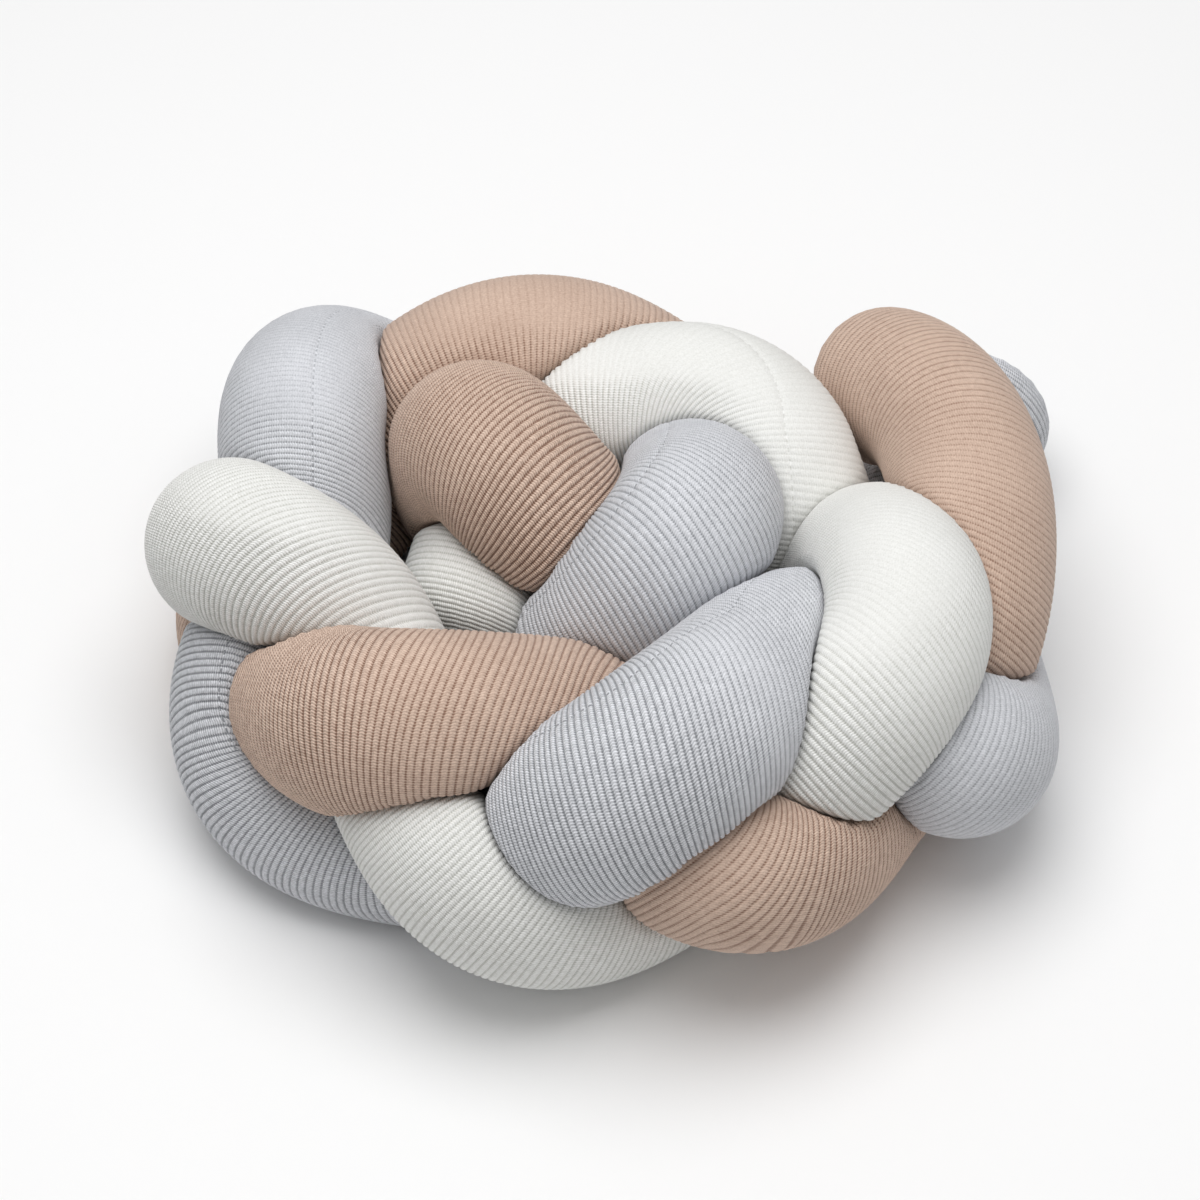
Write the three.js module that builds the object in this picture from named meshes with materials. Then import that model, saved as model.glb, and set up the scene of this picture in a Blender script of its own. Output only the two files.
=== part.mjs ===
import * as THREE from "three";

// Three stuffed tubes of rib knit, plaited and laid as an outward spiral in one low pile.
// Lengths are in millimetres, +Z is up and the side seen in front faces -Y.

const tubeRadius = 47.5; // the free, round section of a stuffed tube
const viewRise = 50; // degrees above the horizon from which right and rise are read
const neighbourGap = 2.9; // left between two tubes where they press on each other
const neighbourReach = 125; // tube centres further apart than this don't touch
const ownTurnLength = 170; // along one tube, parts nearer than this are one bend
const ownSkipLength = 24; // nearer still, they are one section
const tangentReach = 8; // a section stands square to the chord this far either side
const stationStep = 8; // spacing of the centre points that share out the space
const ringStep = 16; // spacing of the rings of corners along a tube
const ringSides = 16; // corners round a tube
const capDepth = 30; // length of a rounded, gathered end
const capRings = 3; // rings of corners on a rounded end
const curveSamples = 24; // points worked out between two rows of a route

// A row for each bend or pass: millimetres to the right and up as seen from the front at viewRise,
// height of the tube's centre above the floor, and girth as a share of the free section.
const routeColumns = ["right", "rise", "height", "girth"];

const greyRoute = [
  [-40, -16, 46, 1],
  [-19, -1, 60, 1],
  [7, 24, 108, 1],
  [34, 54, 155, 1],
  [51, 78, 160, 1],
  [51, 91, 122, 1],
  [37, 99, 72, 1],
  [14, 111, 46, 1],
  [-26, 121, 42, 1],
  [-68, 127, 42, 1],
  [-111, 137, 46, 1],
  [-144, 154, 76, 1],
  [-164, 157, 118, 1],
  [-170, 133, 140, 1],
  [-166, 98, 118, 1],
  [-167, 66, 90, 1],
  [-172, 34, 90, 1],
  [-187, 3, 88, 1],
  [-194, -25, 62, 1],
  [-189, -55, 46, 1],
  [-166, -79, 44, 1],
  [-133, -92, 40, 1],
  [-94, -98, 42, 1],
  [-57, -96, 64, 1],
  [-26, -82, 115, 1.04],
  [5, -70, 145, 1.14],
  [40, -45, 160, 1.16],
  [70, -18, 155, 1.06],
  [94, 6, 130, 0.97],
  [118, 9, 100, 0.95],
  [146, -14, 72, 0.95],
  [172, -38, 98, 1],
  [192, -50, 95, 1],
  [203, -44, 68, 1],
  [199, -17, 44, 1],
  [190, 22, 42, 1],
  [187, 66, 42, 1],
  [186, 110, 45, 1],
  [212, 138, 50, 1],
  [222, 164, 53, 1],
];

const tanRoute = [
  [-66, 88, 60, 1],
  [-78, 108, 106, 1],
  [-72, 127, 152, 1],
  [-47, 101, 150, 1],
  [-19, 68, 118, 1],
  [14, 47, 74, 1],
  [46, 43, 47, 1],
  [74, 66, 46, 1],
  [80, 103, 47, 1],
  [51, 131, 60, 1],
  [23, 152, 94, 1],
  [-10, 169, 122, 1],
  [-46, 173, 132, 1],
  [-84, 161, 124, 1],
  [-115, 137, 92, 1],
  [-139, 108, 52, 1],
  [-165, 74, 43, 1],
  [-193, 43, 38, 1],
  [-197, 17, 38, 1],
  [-176, -9, 60, 1],
  [-148, -29, 110, 1.05],
  [-123, -34, 142, 1.12],
  [-83, -32, 145, 1.08],
  [-42, -31, 122, 0.99],
  [-9, -35, 90, 1],
  [11, -58, 72, 1],
  [31, -90, 92, 1],
  [57, -105, 102, 1],
  [90, -107, 92, 1],
  [115, -93, 66, 1],
  [134, -67, 45, 1],
  [157, -47, 42, 1],
  [176, -24, 62, 1],
  [190, 7, 104, 1],
  [200, 51, 128, 1.01],
  [203, 100, 138, 0.95],
  [187, 142, 138, 0.91],
  [162, 158, 115, 0.94],
  [150, 153, 88, 1],
];

const whiteRoute = [
  [-206, 63, 112, 1],
  [-208, 66, 128, 1],
  [-199, 63, 150, 1],
  [-167, 49, 144, 0.96],
  [-137, 24, 112, 0.9],
  [-123, -17, 85, 1],
  [-103, -63, 92, 1],
  [-82, -101, 98, 1],
  [-51, -125, 75, 1],
  [-13, -129, 50, 1],
  [23, -113, 42, 1],
  [53, -92, 42, 1],
  [80, -78, 68, 1],
  [104, -56, 115, 1],
  [139, -22, 145, 1],
  [160, 9, 155, 1],
  [161, 38, 155, 1],
  [152, 57, 122, 1],
  [136, 43, 76, 1],
  [111, 33, 48, 1],
  [107, 57, 62, 1],
  [104, 88, 108, 1],
  [88, 128, 130, 1],
  [51, 147, 135, 1],
  [8, 138, 126, 1],
  [-34, 135, 104, 1],
  [-50, 88, 76, 1],
  [-66, 42, 82, 1],
  [-76, 4, 64, 1],
];

const tubeSpecs = [
  { name: "white_strand", color: "#eeeeea", route: whiteRoute },
  { name: "grey_strand", color: "#cdd1d8", route: greyRoute },
  { name: "tan_strand", color: "#c8aa96", route: tanRoute },
];

// What is seen at right and rise lies further back the higher it is: rise = y sin + height cos.
function rowPoint(row) {
  const cell = Object.fromEntries(routeColumns.map((column, place) => [column, row[place]]));
  const tilt = THREE.MathUtils.degToRad(viewRise);
  const back = (cell.rise - cell.height * Math.cos(tilt)) / Math.sin(tilt);
  return new THREE.Vector4(cell.right, back, cell.height, cell.girth);
}

// The cubic B-spline of the rows, with one mirrored row past each end so that it starts on the first.
function smoothRoute(rows) {
  const inner = rows.map(rowPoint);
  const mirrored = (end, next) => end.clone().multiplyScalar(2).sub(next);
  const control = [mirrored(inner[0], inner[1]), ...inner, mirrored(inner.at(-1), inner.at(-2))];
  const samples = [];
  const addSample = (span, u) => {
    const weights = [
      (1 - u) ** 3,
      3 * u ** 3 - 6 * u ** 2 + 4,
      -3 * u ** 3 + 3 * u ** 2 + 3 * u + 1,
      u ** 3,
    ];
    const sum = new THREE.Vector4(0, 0, 0, 0);
    weights.forEach((weight, k) => sum.addScaledVector(control[span + k], weight / 6));
    samples.push(sum);
  };
  const spans = control.length - 3;
  for (let span = 0; span < spans; span += 1) {
    for (let k = 0; k < curveSamples; k += 1) addSample(span, k / curveSamples);
  }
  addSample(spans - 1, 1);
  return samples;
}

// The route with its running length, so that any place on it can be found by its distance.
function measuredRoute(rows) {
  const samples = smoothRoute(rows);
  const along = [0];
  for (let k = 1; k < samples.length; k += 1) {
    const before = samples[k - 1];
    const here = samples[k];
    along.push(along[k - 1] + Math.hypot(here.x - before.x, here.y - before.y, here.z - before.z));
  }
  return { samples, along, length: along.at(-1) };
}

function placeAt(route, distance) {
  let k = 1;
  while (k < route.along.length - 1 && route.along[k] < distance) k += 1;
  const share = (distance - route.along[k - 1]) / (route.along[k] - route.along[k - 1]);
  const mixed = route.samples[k - 1].clone().lerp(route.samples[k], share);
  return { point: new THREE.Vector3(mixed.x, mixed.y, mixed.z), girth: mixed.w };
}

// Evenly spaced centre points, each with its tube and its distance along it.
function stationsOf(route, tube) {
  const count = Math.round(route.length / stationStep);
  return Array.from({ length: count + 1 }, (_, k) => {
    const distance = (route.length * k) / count;
    return { tube, distance, point: placeAt(route, distance).point };
  });
}

// Ring places: a quarter round closes in at each end, and the body between is evenly spaced.
function ringPlaces(length) {
  const capTurn = (k) => (k / capRings) * (Math.PI / 2);
  const cap = Array.from({ length: capRings - 1 }, (_, k) => ({
    distance: capDepth * (1 - Math.cos(capTurn(k + 1))),
    share: Math.sin(capTurn(k + 1)),
  }));
  const body = length - 2 * capDepth;
  const count = Math.round(body / ringStep);
  const middle = Array.from({ length: count + 1 }, (_, k) => ({
    distance: capDepth + (body * k) / count,
    share: 1,
  }));
  const farCap = cap.map((place) => ({ ...place, distance: length - place.distance })).reverse();
  return [...cap, ...middle, ...farCap];
}

// Each point of a tube stays nearer its own centre line than any other, less half the gap: this
// presses flats where tubes meet and creases the inside of a tight bend. The floor cuts it at z = 0.
function reachOf(centre, direction, radius, ownTube, ownDistance, stations) {
  let reach = radius;
  for (const station of stations) {
    const toward = station.point.clone().sub(centre);
    const across = direction.dot(toward);
    const apart = toward.length();
    const along = station.tube === ownTube ? Math.abs(station.distance - ownDistance) : Infinity;
    if (across > 0 && along > ownSkipLength && apart < neighbourReach) {
      const gap = along < ownTurnLength ? 0 : neighbourGap;
      reach = Math.min(reach, (apart * (apart - gap)) / (2 * across));
    }
  }
  return direction.z < 0 ? Math.min(reach, centre.z / -direction.z) : reach;
}

function tubeGeometry(route, tube, stations) {
  const places = ringPlaces(route.length);
  const corners = [placeAt(route, 0).point];
  const normal = new THREE.Vector3();
  places.forEach((place, ring) => {
    const { point, girth } = placeAt(route, place.distance);
    const ahead = placeAt(route, Math.min(place.distance + tangentReach, route.length)).point;
    const behind = placeAt(route, Math.max(place.distance - tangentReach, 0)).point;
    const tangent = ahead.sub(behind).normalize();
    if (ring === 0) normal.crossVectors(tangent, new THREE.Vector3(0, 0, 1));
    normal.addScaledVector(tangent, -normal.dot(tangent)).normalize();
    const binormal = new THREE.Vector3().crossVectors(tangent, normal);
    for (let side = 0; side < ringSides; side += 1) {
      const turn = (2 * Math.PI * side) / ringSides;
      const direction = normal.clone().multiplyScalar(Math.cos(turn));
      direction.addScaledVector(binormal, Math.sin(turn));
      const radius = tubeRadius * girth * place.share;
      const reach = reachOf(point, direction, radius, tube, place.distance, stations);
      corners.push(point.clone().addScaledVector(direction, reach));
    }
  });
  corners.push(placeAt(route, route.length).point);
  return new THREE.BufferGeometry()
    .setAttribute("position", new THREE.Float32BufferAttribute(corners.flatMap((c) => c.toArray()), 3))
    .setIndex(tubeFaces(places.length, corners.length - 1));
}

// Faces between rings, with a fan to the closing point at each end, wound to face outwards.
function tubeFaces(rings, lastCorner) {
  const faces = [];
  const corner = (ring, side) => 1 + ring * ringSides + (side % ringSides);
  for (let side = 0; side < ringSides; side += 1) {
    faces.push(0, corner(0, side + 1), corner(0, side));
    for (let ring = 0; ring < rings - 1; ring += 1) {
      const near = [corner(ring, side), corner(ring, side + 1)];
      const far = [corner(ring + 1, side), corner(ring + 1, side + 1)];
      faces.push(near[0], near[1], far[1], near[0], far[1], far[0]);
    }
    faces.push(lastCorner, corner(rings - 1, side), corner(rings - 1, side + 1));
  }
  return faces;
}

const routes = tubeSpecs.map((spec) => measuredRoute(spec.route));
const stations = routes.flatMap(stationsOf);
const geometries = routes.map((route, tube) => tubeGeometry(route, tube, stations));

// The origin is the middle of the whole pile, on the floor.
const whole = new THREE.Box3();
for (const geometry of geometries) {
  geometry.computeBoundingBox();
  whole.union(geometry.boundingBox);
}
const middle = whole.getCenter(new THREE.Vector3());

const bumper = new THREE.Group();
bumper.name = "braided_bumper";
geometries.forEach((geometry, tube) => {
  const { name, color } = tubeSpecs[tube];
  geometry.translate(-middle.x, -middle.y, 0);
  const material = new THREE.MeshStandardMaterial({ color, roughness: 0.95, metalness: 0 });
  const mesh = new THREE.Mesh(geometry, material);
  mesh.name = name;
  bumper.add(mesh);
});

export default bumper;
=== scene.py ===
import math

import bpy
import numpy as np
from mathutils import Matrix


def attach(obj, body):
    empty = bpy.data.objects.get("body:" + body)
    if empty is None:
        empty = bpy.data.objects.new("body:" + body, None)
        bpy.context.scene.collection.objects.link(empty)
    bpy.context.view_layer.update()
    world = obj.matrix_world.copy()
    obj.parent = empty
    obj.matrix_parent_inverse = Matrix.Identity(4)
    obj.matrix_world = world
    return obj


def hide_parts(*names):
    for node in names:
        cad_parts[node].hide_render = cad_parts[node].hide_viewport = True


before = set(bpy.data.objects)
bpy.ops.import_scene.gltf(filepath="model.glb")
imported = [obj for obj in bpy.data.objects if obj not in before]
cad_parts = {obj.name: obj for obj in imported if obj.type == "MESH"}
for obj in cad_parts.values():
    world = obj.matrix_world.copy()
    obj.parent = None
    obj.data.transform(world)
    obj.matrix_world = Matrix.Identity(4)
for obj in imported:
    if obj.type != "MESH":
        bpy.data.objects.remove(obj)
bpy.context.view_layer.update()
print("frame loaded")

# Three stuffed tubes of rib knit, plaited and laid as an outward spiral in one low pile.
# Routes are in millimetres, as in the solids; the meshes are in metres.

pile = {
    "viewRise": 50,  # degrees above the floor from which right and rise are read
    "middle": (2.9, -41.43),  # middle of the footprint, moved to the origin
    "tubeRadius": 47.5,  # free, round section of a stuffed tube
    "gap": 1.6,  # left between two tubes where they press on each other
    "touchReach": 125,  # centre lines further apart than this don't touch
    "ownTurn": 170,  # along one tube, parts nearer than this are one bend
    "ownSkip": 24,  # nearer still, they are one section
    "stationStep": 8,  # spacing of the centre points that share out the space
    "curveSamples": 24,  # points worked out between two rows of a route
    "chordReach": 8,  # a tube's direction is read this far behind and ahead
    "sideSlant": (0.36, 0.48, 0.8),  # fixed direction that side directions start square to
}
metre = 1000  # in millimetres
tiny = 1e-6  # keeps divisions away from zero

viewTilt = math.radians(pile["viewRise"])
towardViewer = np.array([0, -math.cos(viewTilt), math.sin(viewTilt)])
upInView = np.array([0, math.sin(viewTilt), math.cos(viewTilt)])

# A row for each bend or pass: right and rise as seen from the front, height of the centre above
# the floor, and girth as a share of the free section.
routeColumns = ["right", "rise", "height", "girth"]

greyRoute = [
    [-40, -16, 46, 1],
    [-19, -1, 60, 1],
    [7, 24, 108, 1],
    [34, 54, 155, 1],
    [51, 78, 160, 1],
    [51, 91, 122, 1],
    [37, 99, 72, 1],
    [14, 111, 46, 1],
    [-26, 121, 42, 1],
    [-68, 127, 42, 1],
    [-111, 137, 46, 1],
    [-144, 154, 76, 1],
    [-164, 157, 118, 1],
    [-170, 133, 140, 1],
    [-166, 98, 118, 1],
    [-167, 66, 90, 1],
    [-172, 34, 90, 1],
    [-187, 3, 88, 1],
    [-194, -25, 62, 1],
    [-189, -55, 46, 1],
    [-166, -79, 44, 1],
    [-133, -92, 40, 1],
    [-94, -98, 42, 1],
    [-57, -96, 64, 1],
    [-26, -82, 115, 1.04],
    [5, -70, 145, 1.14],
    [40, -45, 160, 1.16],
    [70, -18, 155, 1.06],
    [94, 6, 130, 0.97],
    [118, 9, 100, 0.95],
    [146, -14, 72, 0.95],
    [172, -38, 98, 1],
    [192, -50, 95, 1],
    [203, -44, 68, 1],
    [199, -17, 44, 1],
    [190, 22, 42, 1],
    [187, 66, 42, 1],
    [186, 110, 45, 1],
    [212, 138, 50, 1],
    [222, 164, 53, 1],
]

tanRoute = [
    [-66, 88, 60, 1],
    [-78, 108, 106, 1],
    [-72, 127, 152, 1],
    [-47, 101, 150, 1],
    [-19, 68, 118, 1],
    [14, 47, 74, 1],
    [46, 43, 47, 1],
    [74, 66, 46, 1],
    [80, 103, 47, 1],
    [51, 131, 60, 1],
    [23, 152, 94, 1],
    [-10, 169, 122, 1],
    [-46, 173, 132, 1],
    [-84, 161, 124, 1],
    [-115, 137, 92, 1],
    [-139, 108, 52, 1],
    [-165, 74, 43, 1],
    [-193, 43, 38, 1],
    [-197, 17, 38, 1],
    [-176, -9, 60, 1],
    [-148, -29, 110, 1.05],
    [-123, -34, 142, 1.12],
    [-83, -32, 145, 1.08],
    [-42, -31, 122, 0.99],
    [-9, -35, 90, 1],
    [11, -58, 72, 1],
    [31, -90, 92, 1],
    [57, -105, 102, 1],
    [90, -107, 92, 1],
    [115, -93, 66, 1],
    [134, -67, 45, 1],
    [157, -47, 42, 1],
    [176, -24, 62, 1],
    [190, 7, 104, 1],
    [200, 51, 128, 1.01],
    [203, 100, 138, 0.95],
    [187, 142, 138, 0.91],
    [162, 158, 115, 0.94],
    [150, 153, 88, 1],
]

whiteRoute = [
    [-206, 63, 112, 1],
    [-208, 66, 128, 1],
    [-199, 63, 150, 1],
    [-167, 49, 144, 0.96],
    [-137, 24, 112, 0.9],
    [-123, -17, 85, 1],
    [-103, -63, 92, 1],
    [-82, -101, 98, 1],
    [-51, -125, 75, 1],
    [-13, -129, 50, 1],
    [23, -113, 42, 1],
    [53, -92, 42, 1],
    [80, -78, 68, 1],
    [104, -56, 115, 1],
    [139, -22, 145, 1],
    [160, 9, 155, 1],
    [161, 38, 155, 1],
    [152, 57, 122, 1],
    [136, 43, 76, 1],
    [111, 33, 48, 1],
    [107, 57, 62, 1],
    [104, 88, 108, 1],
    [88, 128, 130, 1],
    [51, 147, 135, 1],
    [8, 138, 126, 1],
    [-34, 135, 104, 1],
    [-50, 88, 76, 1],
    [-66, 42, 82, 1],
    [-76, 4, 64, 1],
]


# What is seen at right and rise lies further back the higher it is:
# rise = back * sin(view) + height * cos(view). The footprint's middle becomes the origin.
def rowPoints(rows):
    cells = dict(zip(routeColumns, np.array(rows, float).T))
    back = (cells["rise"] - cells["height"] * math.cos(viewTilt)) / math.sin(viewTilt)
    x = cells["right"] - pile["middle"][0]
    y = back - pile["middle"][1]
    return np.stack([x, y, cells["height"], cells["girth"]], axis=1)


# Cubic B-spline of the rows: each span is the sum of its four rows by the cubic blending weights,
# with one mirrored row past each end so that the curve starts on the first row.
def smoothRoute(rows):
    inner = rowPoints(rows)
    control = np.vstack([2 * inner[0] - inner[1], inner, 2 * inner[-1] - inner[-2]])
    spans = len(control) - 3
    place = np.linspace(0, spans, spans * pile["curveSamples"] + 1)
    span = np.minimum(place.astype(int), spans - 1)
    way = (place - span)[:, None]
    weights = [
        (1 - way) ** 3,
        3 * way**3 - 6 * way**2 + 4,
        -3 * way**3 + 3 * way**2 + 3 * way + 1,
        way**3,
    ]
    return sum(weight * control[span + row] for row, weight in enumerate(weights)) / 6


# Running length: the sum of the steps between neighbouring points.
def runningLength(points):
    steps = np.linalg.norm(np.diff(points[:, :3], axis=0), axis=1)
    return np.concatenate([[0], np.cumsum(steps)])


# Values on a curve at any distances along it: each column read between its two nearest points.
def placesAt(curve, along, distance):
    return np.stack([np.interp(distance, along, column) for column in curve.T], axis=1)


# Direction of the tube: the chord from a little behind to a little ahead, made one long.
def tangentsAt(curve, along, distance):
    reach = pile["chordReach"]
    ahead = placesAt(curve, along, np.minimum(distance + reach, along[-1]))[:, :3]
    behind = placesAt(curve, along, np.maximum(distance - reach, 0))[:, :3]
    chord = ahead - behind
    return chord / np.linalg.norm(chord, axis=1, keepdims=True)


# Untwisted cross directions: square to the tangent and to one fixed slanting direction, then turned
# back by the running sum of the small turns that this choice makes from one place to the next.
def crossDirections(tangents):
    normals = np.cross(tangents, np.array(pile["sideSlant"]))
    normals /= np.linalg.norm(normals, axis=1, keepdims=True)
    binormals = np.cross(tangents, normals)
    carried = normals[:-1] - tangents[1:] * np.sum(normals[:-1] * tangents[1:], 1, keepdims=True)
    along = np.sum(carried * normals[1:], 1)
    across = np.sum(carried * binormals[1:], 1)
    turn = np.concatenate([[0], np.cumsum(np.arctan2(across, along))])[:, None]
    side = np.cos(turn) * normals + np.sin(turn) * binormals
    return side, np.cross(tangents, side)


routes = {"white": whiteRoute, "grey": greyRoute, "tan": tanRoute}
curves = {tube: smoothRoute(rows) for tube, rows in routes.items()}
lengths = {tube: runningLength(curve) for tube, curve in curves.items()}


# Evenly spaced centre points of every tube, with the tube and the distance of each.
def allStations():
    points, owners, distances = [], [], []
    for number, tube in enumerate(curves):
        count = round(lengths[tube][-1] / pile["stationStep"])
        distance = np.linspace(0, lengths[tube][-1], count + 1)
        points.append(placesAt(curves[tube], lengths[tube], distance)[:, :3])
        owners.append(np.full(count + 1, number))
        distances.append(distance)
    return np.vstack(points), np.concatenate(owners), np.concatenate(distances)


stationPoints, stationOwners, stationDistances = allStations()


# How far a tube may reach from its centre line along each direction before it is nearer another
# centre line than its own: half the square of the distance apart over its part along the direction,
# less half the gap. The floor cuts it at a rib's height above zero.
def reachLimits(tube, centres, directions, distance, floorClear):
    toward = stationPoints[None] - centres[:, None]
    apart = np.linalg.norm(toward, axis=2)
    number = list(curves).index(tube)
    own = stationOwners[None] == number
    along = np.where(own, np.abs(stationDistances[None] - distance[:, None]), np.inf)
    gap = np.where(along < pile["ownTurn"], 0, pile["gap"])
    counts = (along > pile["ownSkip"]) & (apart < pile["touchReach"])
    across = np.einsum("rsk,rnk->rsn", directions, toward)
    room = (apart * (apart - gap))[:, None] / (2 * np.maximum(across, tiny))
    room = np.where(counts[:, None] & (across > tiny), room, np.inf)
    downward = np.maximum(-directions[..., 2], tiny)
    floorRoom = (centres[:, None, 2] - floorClear) / downward
    return np.minimum(room.min(axis=2), np.maximum(floorRoom, 0))


# Blur over the grid: each value becomes a quarter of each neighbour and half of itself.
def softened(grid, alongPasses, roundPasses):
    for _ in range(alongPasses):
        padded = np.pad(grid, ((1, 1), (0, 0)), mode="edge")
        grid = (padded[:-2] + 2 * padded[1:-1] + padded[2:]) / 4
    for _ in range(roundPasses):
        grid = (np.roll(grid, 1, 1) + 2 * grid + np.roll(grid, -1, 1)) / 4
    return grid


# Blur along the tube: a mean weighted by a bell curve of the given spread, cut off at three spreads.
def blurredAlong(grid, step, spread):
    reach = math.ceil(3 * spread / step)
    weights = np.exp(-0.5 * (np.arange(-reach, reach + 1) * step / spread) ** 2)
    weights /= weights.sum()
    padded = np.pad(grid, ((reach, reach), (0, 0)), mode="edge")
    return np.stack([np.convolve(column, weights, "valid") for column in padded.T], axis=1)


# The smaller of two values, rounded over a width: the smaller, less a quarter of the width by the
# square of the share of it that the two are closer than the width.
def softLeast(first, second, width):
    overlap = np.maximum(width - np.abs(first - second), 0) / width
    return np.minimum(first, second) - overlap**2 * width / 4


# Waves of the filling: radians in a millimetre along the tube, and swellings in one round of it.
fillingWaves = [
    (0.021, 1),
    (0.034, 2),
    (0.052, 1),
    (0.047, 3),
    (0.083, 2),
    (0.011, 2),
    (0.12, 4),
    (0.07, 0),
]


# Slow unevenness of the filling: a sum of sines along and round the tube, each with a drawn phase.
def lumps(distance, turn, seed):
    phases = np.random.default_rng(seed).uniform(0, 2 * math.pi, len(fillingWaves))
    total = 0
    for phase, (rate, lobes) in zip(phases, fillingWaves):
        total = total + np.sin(rate * distance + lobes * turn + phase)
    return total / len(fillingWaves) ** 0.5


knit = {
    "ribPitch": 4.35,  # millimetres from rib to rib on the side that faces the front
    "ribCrown": 0.4,  # how far a rib's crown stands out
    "ribGroove": 0.85,  # how deep the groove between two ribs lies
    "ribPlaces": [0, 0.23, 0.5, 0.77],  # corners across one rib, the groove at 0
    "ribShape": [-1, 0.55, 1, 0.55],  # height at those corners, groove -1 and crown 1
    "ribCalm": 60,  # ribs stand square to the route smoothed over this length
    "leastSquare": 0.3,  # a rib is read as if it stood at least this square to the route
    "ribDrift": 0.5,  # how far ribs wander along the tube
    "driftRate": 1.7,  # how much faster than the filling's lumps
    "driftSeed": 50,  # added to the tube's seed
    "endFade": 60,  # over this length at an end, ribs come to stand square to the tube
    "leastRise": 0.001,  # share of the distance that is added, so that no rib turns back
    "leastFacing": 0.02,  # weight of a side that faces away when ribs are spaced
    "spacingSpread": 12,  # rib spacing is a mean over about this length
    "shallowest": 0.1,  # share of its depth that a rib of depth 0 keeps
    "topFrom": 0.62,  # a side that faces the sky more than this begins to take the depth for tops
    "topTo": 0.8,  # and from here on has it in full
    "seamTurns": [0, -1.9, -0.6, 0.6, 1.9],  # degrees from the seam line where sides stand close
    "seamMargin": 6,  # degrees from the seam line where even sides begin
    "seamDepth": 0.6,  # how far the lengthwise seam draws the knit in
    "seamWidth": 1.6,  # half width of the furrow that it leaves
    "capDepth": 30,  # length of a rounded, gathered end
    "gathers": 22,  # folds drawn together at an end
    "gatherDepth": 1.6,  # how far they stand out
    "poleDepth": 3,  # how far the gathered middle of an end is drawn in
    "leastRadius": 0.3,  # of the first and last ring
    "pressWidth": 9,  # how softly a free section turns into a pressed flat
    "pressSlack": 0.5,  # how far a pressed flat may pass the middle of the gap
    "limitBlurs": (2, 1),  # blur passes over the limits, along and round the tube
    "radiusBlurs": (4, 1),  # and over the pressed section
    "bulgeMost": 1.07,  # how far a pressed tube swells elsewhere
    "bulgeSpread": 20,  # length over which it does
    "freeReach": 200,  # a side that meets nothing has this much room
    "lump": 0.8,  # millimetres of slow unevenness
    "fineStep": 2,  # spacing of the smooth surface that the ribs are laid on
}


# A row for each change along a tube: distance in millimetres, where the seam stands round the tube and
# how far the ribs lean, both in degrees, then rib spacing, rib depth and rib depth on sides that face
# the sky, all as shares of the usual. The rib depths also set how strong the painted shade is.
knitColumns = ["distance", "seamTurn", "ribLean", "ribSpacing", "ribDepth", "topDepth"]
skyward = np.array([0, 0.35, 0.94])  # up and a little to the back


# Side turns: even steps round the tube with closer ones on both sides of the seam at zero.
def sideTurns(sides):
    seam = np.radians(knit["seamTurns"])
    margin = math.radians(knit["seamMargin"])
    rest = np.linspace(margin, 2 * math.pi - margin, sides - 1)
    return np.sort(np.mod(np.concatenate([seam, rest]), 2 * math.pi))


# Read a grid that is even along the tube at other distances, one column for each side: the row
# below and the row above, each by its nearness.
def readAlong(grid, step, distance):
    place = np.clip(distance / step, 0, len(grid) - 1)
    lower = np.minimum(place.astype(int), len(grid) - 2)
    share = place - lower
    column = np.arange(distance.shape[1])[None]
    if grid.ndim == 3:
        share = share[..., None]
    return grid[lower, column] * (1 - share) + grid[lower + 1, column] * share


# One tube's centre line in small even steps, with a spoke from it for each side. A spoke's angle is
# the turn of its side from the seam plus where the seam stands.
def tubeLine(tube, sides, knitRows):
    curve, along = curves[tube], lengths[tube]
    count = round(along[-1] / knit["fineStep"] / 2) * 2
    distance = np.linspace(0, along[-1], count + 1)
    places = placesAt(curve, along, distance)
    tangents = tangentsAt(curve, along, distance)
    side, binormal = crossDirections(tangents)
    plan = dict(zip(knitColumns, np.array(knitRows, float).T))
    turn = sideTurns(sides)
    seam = np.radians(np.interp(distance, plan["distance"], plan["seamTurn"]))
    angle = turn[None] + seam[:, None]
    spokes = np.cos(angle)[..., None] * side[:, None] + np.sin(angle)[..., None] * binormal[:, None]
    return {
        "distance": distance,
        "step": distance[1],
        "fromEnd": np.minimum(distance, along[-1] - distance),
        "centres": places[:, :3],
        "girth": pile["tubeRadius"] * places[:, 3:4],
        "tangents": tangents,
        "turn": turn,
        "angle": angle,
        "spokes": spokes,
        "plan": plan,
    }


# Limits for every place and side: worked out at every other place, with means between them.
def limitGrid(tube, line):
    half = slice(None, None, 2)
    limits = reachLimits(
        tube, line["centres"][half], line["spokes"][half], line["distance"][half], knit["ribCrown"]
    )
    grid = np.zeros(line["angle"].shape)
    grid[half] = limits
    grid[1::2] = (limits[:-1] + limits[1:]) / 2
    return np.minimum(grid, knit["freeReach"])


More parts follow.
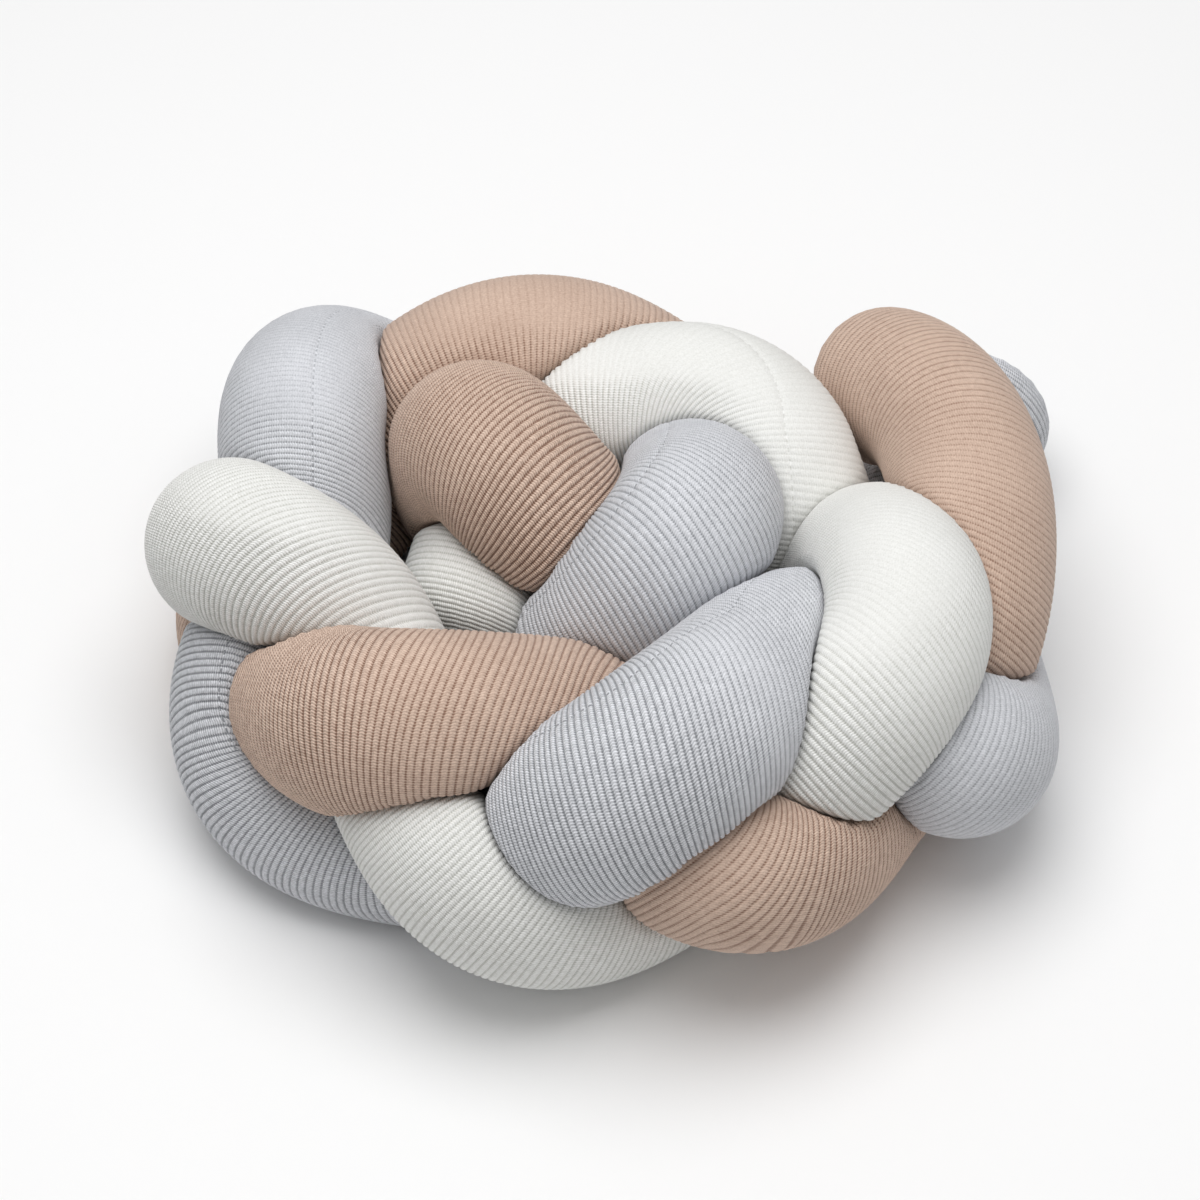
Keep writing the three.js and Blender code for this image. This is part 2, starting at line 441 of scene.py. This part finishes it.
# The smooth surface: the free section, uneven, swollen where it is pressed, kept within its limits,
# and drawn in at the ends as a quarter round with pleats. Rounding is its share of the full width.
def stuffedSurface(tube, seed, line):
    limits = limitGrid(tube, line)
    girth = line["girth"] + 0 * limits
    pressed = np.minimum(girth, limits)
    swell = np.sqrt(np.mean(girth**2, 1) / np.mean(pressed**2, 1))[:, None]
    swell = blurredAlong(np.clip(swell, 1, knit["bulgeMost"]), line["step"], knit["bulgeSpread"])
    free = girth * swell + lumps(line["distance"][:, None], line["angle"], seed) * knit["lump"]
    radius = softLeast(free, softened(limits, *knit["limitBlurs"]), knit["pressWidth"])
    radius = np.minimum(softened(radius, *knit["radiusBlurs"]), limits + knit["pressSlack"])
    closing = 1 - np.clip(line["fromEnd"] / knit["capDepth"], 0, 1)
    rounding = np.sqrt(np.clip(1 - closing**2, 0, 1))[:, None]
    pleats = np.cos(knit["gathers"] * line["turn"])[None] * closing[:, None] ** 2
    radius = np.minimum(radius, girth * rounding) + pleats * knit["gatherDepth"] * rounding
    radius = np.maximum(radius, knit["leastRadius"])
    surface = line["centres"][:, None] + radius[..., None] * line["spokes"]
    return surface, radius, rounding


# How far along the tube each place of each side counts. Ribs stand square to a smoother route, turned
# by their lean about the line of sight: a corner is read where the plane of its rib meets the centre
# line, its radius times the part of its direction along that route further on.
def ribReading(seed, line, radius):
    plan = line["plan"]
    distance = line["distance"][:, None]
    lean = np.radians(np.interp(distance, plan["distance"], plan["ribLean"]))
    calm = blurredAlong(line["tangents"], line["step"], knit["ribCalm"])
    calm = calm * np.cos(lean) - np.cross(towardViewer, calm) * np.sin(lean)
    calm /= np.linalg.norm(calm, axis=1, keepdims=True)
    square = np.sum(calm * line["tangents"], 1, keepdims=True)
    ahead = np.einsum("rsk,rk->rs", line["spokes"], calm) / np.maximum(square, knit["leastSquare"])
    fade = np.clip(line["fromEnd"] / knit["endFade"], 0, 1)[:, None]
    wander = lumps(distance * knit["driftRate"], line["angle"], seed + knit["driftSeed"])
    reading = distance + (radius * ahead + wander * knit["ribDrift"]) * fade
    return np.maximum.accumulate(reading, axis=0) + knit["leastRise"] * distance


# Distances at which every side reaches the wanted readings.
def ringsAt(wanted, reading, distance):
    return np.stack([np.interp(wanted, column, distance) for column in reading.T], axis=1)


# Ribs are evenly spaced on the side that faces the front: the steps of trial rings, weighted by how
# squarely each side faces the viewer, add up to the length that is shared out among the ribs.
def ribRings(line, surface, reading):
    plan, distance, step = line["plan"], line["distance"], line["step"]
    trial = readAlong(surface, step, ringsAt(distance, reading, distance))
    steps = np.linalg.norm(np.diff(trial, axis=0), axis=2)
    facing = np.einsum("rsk,k->rs", line["spokes"][1:], towardViewer)
    facing = np.maximum(facing, knit["leastFacing"]) ** 2
    shown = np.sum(steps * facing, 1, keepdims=True) / np.sum(facing, 1, keepdims=True)
    spacing = np.interp(distance, plan["distance"], plan["ribSpacing"])
    shown = blurredAlong(shown, step, knit["spacingSpread"])[:, 0] / spacing[1:]
    shown = np.concatenate([[0], np.cumsum(shown)])
    ribs = round(shown[-1] / knit["ribPitch"])
    marks = (np.arange(ribs)[:, None] + np.array(knit["ribPlaces"])[None]).ravel()[1:]
    ringAt = ringsAt(np.interp(marks / ribs * shown[-1], shown, distance), reading, distance)
    return marks, ringAt, ribs


# How far a corner stands out from the smooth surface: the rib's shape by its depth, which moves to
# the depth for tops as the side faces the sky, less a furrow of bell shape along the seam.
def ribRelief(line, ringAt, ribs, level, outward):
    plan = line["plan"]
    shape = np.tile(knit["ribShape"], ribs)[1:, None]
    relief = np.where(shape > 0, shape * knit["ribCrown"], shape * knit["ribGroove"])
    onTop = (outward @ skyward - knit["topFrom"]) / (knit["topTo"] - knit["topFrom"])
    onTop = np.clip(onTop, 0, 1)
    onTop = onTop**2 * (3 - 2 * onTop)
    flankDepth = np.interp(ringAt, plan["distance"], plan["ribDepth"])
    topDepth = np.interp(ringAt, plan["distance"], plan["topDepth"])
    # this depth also sets how strong the painted shade is, so it is weaker on sides that face the sky
    depth = flankDepth + (topDepth - flankDepth) * onTop
    share = knit["shallowest"] + (1 - knit["shallowest"]) * depth
    fromSeam = np.abs(np.mod(line["turn"] + math.pi, 2 * math.pi) - math.pi) * pile["tubeRadius"]
    furrow = np.exp(-((fromSeam / knit["seamWidth"]) ** 2))[None] * knit["seamDepth"] * level
    return relief * np.minimum(level * 2, 1) * share - furrow, depth


# One tube as rings of corners: the smooth surface read at the ribs' rings, plus the ribs' relief
# outwards, square to the ring and to the way along. Nothing goes below the floor.
def tubeSurface(tube, seed, sides, knitRows):
    line = tubeLine(tube, sides, knitRows)
    surface, radius, rounding = stuffedSurface(tube, seed, line)
    marks, ringAt, ribs = ribRings(line, surface, ribReading(seed, line, radius))
    base = readAlong(surface, line["step"], ringAt)
    level = readAlong(rounding + 0 * radius, line["step"], ringAt)
    outward = np.cross(np.roll(base, -1, 1) - np.roll(base, 1, 1), np.gradient(base, axis=0))
    outward /= np.maximum(np.linalg.norm(outward, axis=2, keepdims=True), tiny)
    relief, depth = ribRelief(line, ringAt, ribs, level, outward)
    corners = base + relief[..., None] * outward
    corners[..., 2] = np.maximum(corners[..., 2], 0)
    inward = line["tangents"][[0, -1]] * np.array([[1], [-1]])
    poles = line["centres"][[0, -1]] + knit["poleDepth"] * inward
    return corners, poles, marks, line["turn"], depth


# The knit's map, a place for each loop: the share of a turn round the tube, and the count of ribs along
# it. The pole of a fan stands midway between the turns of its two corners.
def knitMap(turn, marks, ring, side):
    turnHere = turn / (2 * math.pi)
    turnThere = np.append(turnHere[1:], 1.0)
    quadMap = np.stack(
        [
            np.stack([turnHere[side], marks[ring]], -1),
            np.stack([turnThere[side], marks[ring]], -1),
            np.stack([turnThere[side], marks[ring + 1]], -1),
            np.stack([turnHere[side], marks[ring + 1]], -1),
        ],
        axis=2,
    ).reshape(-1, 2)
    turnBetween = (turnHere + turnThere) / 2
    startPole = 0 * turnHere
    firstRing = startPole + marks[0]
    lastRing = startPole + marks[-1]
    endPole = lastRing + 1
    startMap = [[turnBetween, startPole], [turnThere, firstRing], [turnHere, firstRing]]
    endMap = [[turnBetween, endPole], [turnHere, lastRing], [turnThere, lastRing]]
    fanMaps = [np.stack(fan).transpose(2, 0, 1).reshape(-1, 2) for fan in (startMap, endMap)]
    return np.concatenate([quadMap, *fanMaps])


# A closed skin from rings of corners: quads between neighbouring rings and a fan at each pole. The
# knit's map goes with its loops, and the rib depth, which also sets how strong the painted shade is,
# with its corners.
def skinObject(name, corners, poles, marks, turn, depth):
    rings, sides = corners.shape[:2]
    vertices = np.vstack([corners.reshape(-1, 3), poles]) / metre
    ring, side = np.meshgrid(np.arange(rings - 1), np.arange(sides), indexing="ij")
    after = (side + 1) % sides
    near, far = ring * sides, (ring + 1) * sides
    quads = np.stack([near + side, near + after, far + after, far + side], axis=-1).reshape(-1, 4)
    here = np.arange(sides)
    there = (here + 1) % sides
    lastRing = (rings - 1) * sides
    startPole = np.full(sides, rings * sides)
    startFan = np.stack([startPole, there, here], axis=1)
    endFan = np.stack([startPole + 1, lastRing + here, lastRing + there], axis=1)
    fans = np.vstack([startFan, endFan])
    loops = np.concatenate([quads.ravel(), fans.ravel()])
    quadStarts = np.arange(len(quads)) * 4
    fanStarts = len(quads) * 4 + np.arange(len(fans)) * 3
    mesh = bpy.data.meshes.new(name)
    mesh.vertices.add(len(vertices))
    mesh.vertices.foreach_set("co", vertices.ravel())
    mesh.loops.add(len(loops))
    mesh.loops.foreach_set("vertex_index", loops.astype(np.int32))
    starts = np.concatenate([quadStarts, fanStarts])
    mesh.polygons.add(len(starts))
    mesh.polygons.foreach_set("loop_start", starts.astype(np.int32))
    mesh.polygons.foreach_set("use_smooth", np.ones(len(starts), bool))
    layer = mesh.uv_layers.new(name="knitMap")
    layer.data.foreach_set("uv", knitMap(turn, marks, ring, side).ravel().astype(np.float32))
    ribDepth = mesh.attributes.new("ribDepth", "FLOAT", "POINT")
    depths = np.append(depth.ravel(), depth[[0, -1], 0])
    ribDepth.data.foreach_set("value", depths.astype(np.float32))
    mesh.update()
    mesh.validate()
    piece = bpy.data.objects.new(name, mesh)
    bpy.context.scene.collection.objects.link(piece)
    return piece


# A node at a place in its tree, with its settings.
def addNode(tree, kind, place=(0, 0), **settings):
    node = tree.nodes.new(kind)
    node.location = place
    for key, value in settings.items():
        setattr(node, key, value)
    return node


# A sum, product or other operation of up to three values, each a socket or a number.
def mathNode(tree, operation, first, second=None, third=None):
    node = addNode(tree, "ShaderNodeMath", operation=operation)
    for socket, value in zip(node.inputs, (first, second, third)):
        if value is None:
            continue
        if isinstance(value, bpy.types.NodeSocket):
            tree.links.new(value, socket)
        else:
            socket.default_value = value
    return node.outputs[0]


# Noise read at a vector: a value that varies about 0.5.
def noiseNode(tree, vector, scale, detail, dimensions="3D"):
    noise = addNode(tree, "ShaderNodeTexNoise", noise_dimensions=dimensions)
    noise.inputs["Scale"].default_value = scale
    noise.inputs["Detail"].default_value = detail
    tree.links.new(vector, noise.inputs["Vector"])
    return noise.outputs["Fac"]


# How the knit looks close up. Widths across a rib are in ribs, and places round a tube in turns.
knitDetail = {
    "grooveFrom": 0.02,  # from the groove's middle, its full painted shade ends here
    "grooveTo": 0.24,  # and has faded here
    "stitchLean": 0.9,  # stitches that a stitch leans by over half a rib
    "streakRound": 40,  # streaks of painted groove shade in one round of the tube
    "streakAlong": 1.3,  # and across one rib
    "fibreScale": 900,  # fineness of loose fibre
    "dyeScale": 22,  # fineness of the dye's clouds
    "seamHalf": 0.0018,  # half width of the seam's line
    "seamStitches": 0.75,  # stitches of the seam for each rib
    "seamHole": 0.26,  # half length of a stitch hole, in stitches of the seam
    "middleTone": 0.42,  # tone that shallow ribs, and their painted shade, come to, between yarn and groove
    "roughness": 0.85,
    "roughSpread": 0.15,
}

# Shares in the tone, which runs from yarn at 0 to the painted groove shade colour at 1. The shares of
# the streak, the stitch gap and the seam holes paint shade; stitch, fibre and dye vary the tone at
# random.
toneShares = {
    "grooveShadeStreak": 0.9,
    # painted shade in the gaps between stitches
    "stitchGap": 0.6,
    "stitch": 0.3,
    "fibre": 0.6,
    "dye": 0.25,
    "seam": -0.15,
    "seamHole": 0.25,  # painted shade in the seam's stitch holes, on a smooth stretch
    "deepSeamHoleShade": 0.8,  # and this much more painted shade where ribs are deep
}

# Shares in the height that the bump is made from.
heightShares = {
    "stitchGap": -0.8,
    "stitch": 0.15,
    "groove": -0.4,
    "fibre": 0.5,
    "seam": 0.5,
}


# Rib knit: stitches run across each rib, painted shade darkens the groove between ribs and the gaps
# between stitches, loose fibre and uneven dye vary it. Colour, height and roughness come out.
def ribKnitGroup():
    group = bpy.data.node_groups.new("ribKnit", "ShaderNodeTree")
    face = group.interface
    face.new_socket("Yarn", in_out="INPUT", socket_type="NodeSocketColor")
    face.new_socket("GrooveShade", in_out="INPUT", socket_type="NodeSocketColor")
    face.new_socket("Stitches", in_out="INPUT", socket_type="NodeSocketFloat")
    face.new_socket("Color", in_out="OUTPUT", socket_type="NodeSocketColor")
    face.new_socket("Height", in_out="OUTPUT", socket_type="NodeSocketFloat")
    face.new_socket("Roughness", in_out="OUTPUT", socket_type="NodeSocketFloat")
    inside = addNode(group, "NodeGroupInput", (-1400, 0))
    outside = addNode(group, "NodeGroupOutput", (900, 0))

    # mathNode in this group
    def operate(operation, *values):
        return mathNode(group, operation, *values)

    # turns round the tube, ribs along it, and the depth of the ribs, which also sets how strong the
    # painted shade is
    uv = addNode(group, "ShaderNodeUVMap", (-1400, 300), uv_map="knitMap")
    split = addNode(group, "ShaderNodeSeparateXYZ", (-1200, 300))
    group.links.new(uv.outputs[0], split.inputs[0])
    roundTurn, ribCount = split.outputs[0], split.outputs[1]
    depthNode = addNode(group, "ShaderNodeAttribute", (-1400, 600), attribute_name="ribDepth")
    ribDepth = depthNode.outputs["Fac"]

    # the groove: 1 in its middle, fading with the distance from it, which is 0.5 on the crown; the
    # painted groove shade lies within it
    toGroove = operate("PINGPONG", ribCount, 0.5)
    grooveMask = addNode(group, "ShaderNodeMapRange", interpolation_type="SMOOTHSTEP")
    group.links.new(toGroove, grooveMask.inputs["Value"])
    grooveMask.inputs["From Min"].default_value = knitDetail["grooveFrom"]
    grooveMask.inputs["From Max"].default_value = knitDetail["grooveTo"]
    grooveMask.inputs["To Min"].default_value = 1
    grooveMask.inputs["To Max"].default_value = 0
    groove = grooveMask.outputs[0]

    # a stitch leans one way on one half of the rib and back on the other; the gaps between stitches get
    # painted shade, and each stitch lies a little lighter or darker than the next, by a number drawn
    # for its cell
    lean = operate("MULTIPLY", toGroove, knitDetail["stitchLean"])
    stitchPlace = operate("MULTIPLY_ADD", roundTurn, inside.outputs["Stitches"], lean)
    stitchGap = operate("MULTIPLY_ADD", operate("PINGPONG", stitchPlace, 0.5), -2.0, 1.0)
    cell = addNode(group, "ShaderNodeCombineXYZ")
    group.links.new(operate("FLOOR", stitchPlace), cell.inputs[0])
    group.links.new(operate("FLOOR", operate("MULTIPLY", ribCount, 2.0)), cell.inputs[1])
    drawn = addNode(group, "ShaderNodeTexWhiteNoise", noise_dimensions="2D")
    group.links.new(cell.outputs[0], drawn.inputs["Vector"])
    stitch = operate("SUBTRACT", drawn.outputs["Value"], 0.5)

    # streaks: the painted groove shade fades and deepens along each rib's own length
    streakPlace = addNode(group, "ShaderNodeCombineXYZ")
    group.links.new(operate("MULTIPLY", roundTurn, knitDetail["streakRound"]), streakPlace.inputs[0])
    group.links.new(operate("MULTIPLY", ribCount, knitDetail["streakAlong"]), streakPlace.inputs[1])
    grooveShadeStreak = noiseNode(group, streakPlace.outputs[0], scale=1, detail=2, dimensions="2D")

    # fibre and dye vary over the object, about a middle of 0.5
    coords = addNode(group, "ShaderNodeTexCoord", (-1400, -300))
    fibre = noiseNode(group, coords.outputs["Object"], scale=knitDetail["fibreScale"], detail=3)
    cloud = noiseNode(group, coords.outputs["Object"], scale=knitDetail["dyeScale"], detail=2)

    # the seam: a narrow pale line along the tube with a row of stitch holes darkened by painted shade
    seam = operate("LESS_THAN", operate("PINGPONG", roundTurn, 0.5), knitDetail["seamHalf"])
    seamStitch = operate("PINGPONG", operate("MULTIPLY", ribCount, knitDetail["seamStitches"]), 0.5)
    seamHole = operate("MULTIPLY", operate("LESS_THAN", seamStitch, knitDetail["seamHole"]), seam)

    # tone: from yarn to the painted shade colour, with painted shade in grooves, between stitches and
    # in the seam's holes, eased on shallow ribs, and with fibre and dye clouds
    grooveShadeTone = operate("MULTIPLY_ADD", grooveShadeStreak, toneShares["grooveShadeStreak"], stitchGap)
    tone = operate("MULTIPLY", groove, grooveShadeTone)
    tone = operate("MULTIPLY_ADD", stitchGap, toneShares["stitchGap"], tone)
    tone = operate("MULTIPLY_ADD", stitch, toneShares["stitch"], tone)
    fromMiddle = operate("SUBTRACT", tone, knitDetail["middleTone"])
    tone = operate("MULTIPLY_ADD", fromMiddle, ribDepth, knitDetail["middleTone"])
    tone = operate("MULTIPLY_ADD", operate("SUBTRACT", fibre, 0.5), toneShares["fibre"], tone)
    tone = operate("MULTIPLY_ADD", operate("SUBTRACT", cloud, 0.5), toneShares["dye"], tone)
    tone = operate("MULTIPLY_ADD", seam, toneShares["seam"], tone)
    seamHoleShade = operate("MULTIPLY_ADD", ribDepth, toneShares["deepSeamHoleShade"], toneShares["seamHole"])
    tone = operate("MULTIPLY_ADD", seamHole, seamHoleShade, tone)
    mix = addNode(group, "ShaderNodeMix", (500, 200), data_type="RGBA", clamp_factor=True)
    group.links.new(tone, mix.inputs["Factor"])
    group.links.new(inside.outputs["Yarn"], mix.inputs["A"])
    group.links.new(inside.outputs["GrooveShade"], mix.inputs["B"])
    group.links.new(mix.outputs["Result"], outside.inputs["Color"])

    # height: stitches and the groove by the depth of the ribs, then fine fibre and the seam
    height = operate("MULTIPLY", stitchGap, heightShares["stitchGap"])
    height = operate("MULTIPLY_ADD", stitch, heightShares["stitch"], height)
    height = operate("MULTIPLY_ADD", groove, heightShares["groove"], height)
    height = operate("MULTIPLY", height, ribDepth)
    height = operate("MULTIPLY_ADD", fibre, heightShares["fibre"], height)
    height = operate("MULTIPLY_ADD", seam, heightShares["seam"], height)
    group.links.new(height, outside.inputs["Height"])
    rough = operate("MULTIPLY_ADD", fibre, knitDetail["roughSpread"], knitDetail["roughness"])
    group.links.new(rough, outside.inputs["Roughness"])
    return group


ribKnit = ribKnitGroup()


# What the three yarns have in common.
yarnFinish = {
    "stitches": 205,  # in one round of a tube
    "bump": 0.8,
    "bumpDepth": 0.0006,  # metres
    "sheenRoughness": 0.5,
    "specular": 0.2,
}


# Rib knit in one colour of yarn: the group's colour with its painted shade, its roughness, its height
# as a bump, and a faint sheen from the fibre.
def knitMaterial(name, look):
    material = bpy.data.materials.new(name)
    material.use_nodes = True
    tree = material.node_tree
    shader = tree.nodes["Principled BSDF"]
    detail = addNode(tree, "ShaderNodeGroup", (-500, 0), node_tree=ribKnit)
    detail.inputs["Yarn"].default_value = (*look["yarn"], 1)
    detail.inputs["GrooveShade"].default_value = (*look["groove"], 1)
    detail.inputs["Stitches"].default_value = yarnFinish["stitches"]
    bump = addNode(tree, "ShaderNodeBump", (-250, -200))
    bump.inputs["Strength"].default_value = yarnFinish["bump"]
    bump.inputs["Distance"].default_value = yarnFinish["bumpDepth"]
    tree.links.new(detail.outputs["Height"], bump.inputs["Height"])
    tree.links.new(detail.outputs["Color"], shader.inputs["Base Color"])
    tree.links.new(detail.outputs["Roughness"], shader.inputs["Roughness"])
    tree.links.new(bump.outputs["Normal"], shader.inputs["Normal"])
    shader.inputs["Sheen Weight"].default_value = look["sheen"]
    shader.inputs["Sheen Roughness"].default_value = yarnFinish["sheenRoughness"]
    shader.inputs["Specular IOR Level"].default_value = yarnFinish["specular"]
    return material


whiteTube = {
    "name": "whiteTube",
    "sides": 62,  # corners round the tube, besides those of the seam
    "seed": 11,
    "knitRows": [
        [0, 180, 9, 0.8, 0.8, 0.45],
        [63, 180, 9, 0.9, 1, 0.45],
        [95, 185, 5, 1.03, 0.4, 0.25],
        [130, 187, 6, 1.28, 0.4, 0.25],
        [180, 190, 8, 1.1, 0.7, 0.7],
        [283, 195, 10, 0.87, 0.6, 0.6],
        [420, 185, 15, 0.9, 0.7, 0.7],
        [566, 175, 5, 1.02, 0.8, 0.8],
        [600, 178, 14, 1, 0.38, 0.14],
        [651, 188, 26, 1, 0.35, 0.08],
        [700, 200, 30, 1, 0.4, 0.08],
        [800, 262, 42, 1, 0.5, 0.5],
        [869, 291, 48, 1.05, 0.15, 0.15],
        [894, 309, 46, 0.85, 0.15, 0.08],
        [926, 345, 30, 0.75, 0.45, 0.05],
        [966, 385, 8, 0.7, 0.6, 0.05],
        [1000, 395, 8, 0.75, 0.8, 0.06],
        [1050, 400, 8, 0.8, 0.8, 0.2],
        [1172, 420, 10, 1, 0.6, 0.6],
    ],
    # groove: colour of the painted shade in grooves, between stitches and in seam holes
    "look": {"yarn": (0.95, 0.95, 0.935), "groove": (0.57, 0.57, 0.53), "sheen": 0.1},
}
greyTube = {
    "name": "greyTube",
    "sides": 44,  # corners round the tube, besides those of the seam
    "seed": 12,
    "knitRows": [
        [0, 300, 14, 1, 0.6, 0.6],
        [100, 300, 13, 1, 0.55, 0.55],
        [145, 302, 17, 1.02, 0.5, 0.5],
        [190, 306, 8, 0.9, 0.5, 0.25],
        [400, 320, 4, 0.9, 0.5, 0.5],
        [560, 345, -2, 0.76, 0.35, 0.12],
        [620, 344, -6, 0.75, 0.4, 0.17],
        [680, 350, 4, 0.85, 0.7, 0.4],
        [757, 372, 14, 0.95, 0.9, 0.9],
        [790, 361, 16, 0.92, 0.95, 0.95],
        [816, 359, 16, 0.9, 0.95, 0.95],
        [854, 335, 11, 0.85, 0.75, 0.75],
        [1000, 318, 10, 0.92, 0.8, 0.8],
        [1071, 325, 9, 0.95, 0.85, 0.85],
        [1102, 329, 12, 0.94, 0.95, 0.95],
        [1144, 326, 18, 1, 0.38, 0.38],
        [1172, 338, 18, 1, 0.45, 0.45],
        [1300, 300, 20, 0.95, 0.5, 0.5],
        [1400, 290, 22, 0.9, 0.25, 0.25],
        [1600, 290, 10, 1, 0.55, 0.55],
        [1715, 290, 4, 1, 0.8, 0.8],
    ],
    # groove: colour of the painted shade in grooves, between stitches and in seam holes
    "look": {"yarn": (0.83, 0.84, 0.88), "groove": (0.29, 0.3, 0.32), "sheen": 0.1},
}
tanTube = {
    "name": "tanTube",
    "sides": 44,  # corners round the tube, besides those of the seam
    "seed": 13,
    "knitRows": [
        [0, 150, 12, 1, 0.6, 0.6],
        [70, 150, 12, 0.8, 0.5, 0.5],
        [115, 150, 7, 0.86, 0.8, 0.8],
        [143, 150, 13, 0.98, 1, 1],
        [250, 140, 6, 1, 1, 1],
        [400, 80, 4, 0.9, 0.5, 0.5],
        [500, 80, 6, 0.83, 0.35, 0.08],
        [560, 80, -6, 0.75, 0.6, 0.2],
        [640, 82, -6, 0.8, 0.85, 0.5],
        [850, 140, -12, 1, 0.7, 0.7],
        [946, 170, -10, 1.02, 1, 1],
        [976, 180, 3, 0.94, 0.55, 0.55],
        [1011, 184, 9, 1.18, 0.5, 0.5],
        [1120, 200, 30, 1.1, 0.8, 0.8],
        [1217, 218, 31, 1.22, 0.35, 0.35],
        [1240, 220, 8, 1.05, 0.65, 0.65],
        [1400, 195, 16, 1, 0.6, 0.6],
        [1547, 192, 13, 0.87, 0.2, 0.2],
        [1600, 185, -3, 1.07, 0.35, 0.35],
        [1700, 180, 0, 1, 0.4, 0.4],
    ],
    # groove: colour of the painted shade in grooves, between stitches and in seam holes
    "look": {"yarn": (0.8, 0.615, 0.5), "groove": (0.26, 0.15, 0.105), "sheen": 0.15},
}


# One finished tube: its skin, its knit, and what it stands for in the solids.
def makeTube(tube, values):
    skin = tubeSurface(tube, values["seed"], values["sides"], values["knitRows"])
    piece = skinObject(values["name"], *skin)
    piece.data.materials.append(knitMaterial(tube + "Knit", values["look"]))
    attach(piece, "root")
    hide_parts(tube + "_strand")
    print("made", values["name"], "faces", len(piece.data.polygons), "length", round(lengths[tube][-1]))


makeTube("white", whiteTube)
makeTube("grey", greyTube)
makeTube("tan", tanTube)


studio = {
    "cameraDistance": 3.0,  # metres from the aim point
    "frameWidth": 0.684,  # metres across the picture at the aim point
    "sensorWidth": 36,  # millimetres
    "clipEnd": 50,  # metres
    "aimRight": -2.85,  # millimetres from the routes' zero to the picture's middle
    "aimUp": 34.2,  # and up in the picture's plane
    "skyLow": 0.0,  # light of the soft room near the floor
    "skyHigh": 0.75,  # and overhead
    "topLight": 29.5,  # watts
    "topLightPlace": (-0.08, 0.0, 2.1),  # metres
    "topLightAim": (0, 0, 0.08),
    "topLightSize": 1.8,  # metres across
    "floor": (0.93, 0.93, 0.93),
    "floorRoughness": 0.9,
    "floorHalf": 12,  # metres from the middle to each edge
}


# The camera looks down at the pile from the front at the view angle; the aim point is the zero of
# right and rise, moved in the picture's plane to the picture's middle.
def addCamera():
    zero = -np.array([*pile["middle"], 0])
    right = np.array([1, 0, 0])
    aim = (zero + right * studio["aimRight"] + upInView * studio["aimUp"]) / metre
    data = bpy.data.cameras.new("camera")
    data.sensor_width = studio["sensorWidth"]
    data.lens = studio["sensorWidth"] * studio["cameraDistance"] / studio["frameWidth"]
    data.clip_end = studio["clipEnd"]
    camera = bpy.data.objects.new("camera", data)
    camera.location = aim + towardViewer * studio["cameraDistance"]
    camera.rotation_euler = (math.pi / 2 - viewTilt, 0, 0)
    bpy.context.scene.collection.objects.link(camera)
    bpy.context.scene.camera = camera


# A round soft light, turned to shine from its place to its aim.
def addSoftbox(name, place, aim, size, power):
    data = bpy.data.lights.new(name, "AREA")
    data.shape = "DISK"
    data.size = size
    data.energy = power
    light = bpy.data.objects.new(name, data)
    light.location = place
    toward = np.array(place) - np.array(aim)
    flat = math.hypot(toward[0], toward[1])
    light.rotation_euler = (math.atan2(flat, toward[2]), 0, math.atan2(toward[0], -toward[1]))
    bpy.context.scene.collection.objects.link(light)


# The floor: one pale, dull square under the pile.
def addFloor():
    mesh = bpy.data.meshes.new("floor")
    half = studio["floorHalf"]
    corners = [(-half, -half, 0), (half, -half, 0), (half, half, 0), (-half, half, 0)]
    mesh.from_pydata(corners, [], [(0, 1, 2, 3)])
    floor = bpy.data.objects.new("floor", mesh)
    material = bpy.data.materials.new("paleFloor")
    material.use_nodes = True
    shader = material.node_tree.nodes["Principled BSDF"]
    shader.inputs["Base Color"].default_value = (*studio["floor"], 1)
    shader.inputs["Roughness"].default_value = studio["floorRoughness"]
    floor.data.materials.append(material)
    bpy.context.scene.collection.objects.link(floor)


# The room's light grows evenly with the height of the direction it comes from.
def addSky():
    world = bpy.data.worlds.new("softRoom")
    world.use_nodes = True
    tree = world.node_tree
    background = tree.nodes["Background"]
    background.inputs["Color"].default_value = (1, 1, 1, 1)
    direction = addNode(tree, "ShaderNodeTexCoord", (-800, 0))
    split = addNode(tree, "ShaderNodeSeparateXYZ", (-600, 0))
    strength = addNode(tree, "ShaderNodeMapRange", (-300, 0))
    strength.inputs["To Min"].default_value = studio["skyLow"]
    strength.inputs["To Max"].default_value = studio["skyHigh"]
    tree.links.new(direction.outputs["Generated"], split.inputs[0])
    tree.links.new(split.outputs["Z"], strength.inputs["Value"])
    tree.links.new(strength.outputs["Result"], background.inputs["Strength"])
    bpy.context.scene.world = world


addCamera()
addFloor()
addSky()
addSoftbox(
    "topSoftbox",
    studio["topLightPlace"],
    studio["topLightAim"],
    studio["topLightSize"],
    studio["topLight"],
)
bpy.context.scene.view_settings.view_transform = "Standard"
print("studio ready")
